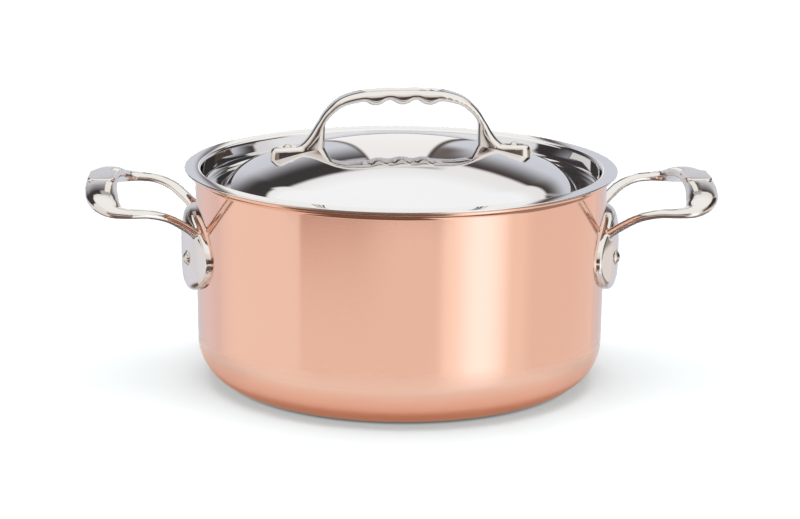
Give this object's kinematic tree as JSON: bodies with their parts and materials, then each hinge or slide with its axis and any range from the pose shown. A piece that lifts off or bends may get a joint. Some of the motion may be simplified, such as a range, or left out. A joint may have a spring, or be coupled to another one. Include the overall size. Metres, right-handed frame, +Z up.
{
  "type": "two-handled cooking pot with lid",
  "caption": "Round copper cooking pot lined with steel, with a riveted cast loop handle on each side and a domed steel lid that lifts off by its arched handle.",
  "frame": {"origin": "centre of the pot's flat base", "axes": "+X through the right-hand side handle, +Z up along the pot's axis, -Y towards the viewer"},
  "size_m": [0.3718, 0.2564, 0.1744],
  "materials": {
    "copper": "satin polished copper",
    "lining_steel": "satin brushed stainless steel",
    "lid_steel": "mirror polished stainless steel",
    "cast_steel": "polished cast stainless steel",
    "rivet_steel": "polished stainless steel"
  },
  "bodies": {
    "pot": {"copper_shell": "copper", "steel_lining": "lining_steel", "left_side_handle": "cast_steel", "right_side_handle": "cast_steel", "left_front_rivet": "rivet_steel", "left_back_rivet": "rivet_steel", "right_front_rivet": "rivet_steel", "right_back_rivet": "rivet_steel"},
    "lid": {"lid_disc": "lid_steel", "lid_handle": "cast_steel", "lid_left_rivet": "rivet_steel", "lid_right_rivet": "rivet_steel"}
  },
  "joints": [
    {"name": "lid_lift", "type": "slide", "parent": "pot", "child": "lid", "axis": [0, 0, 1], "range_m": [0, 0.12]}
  ]
}
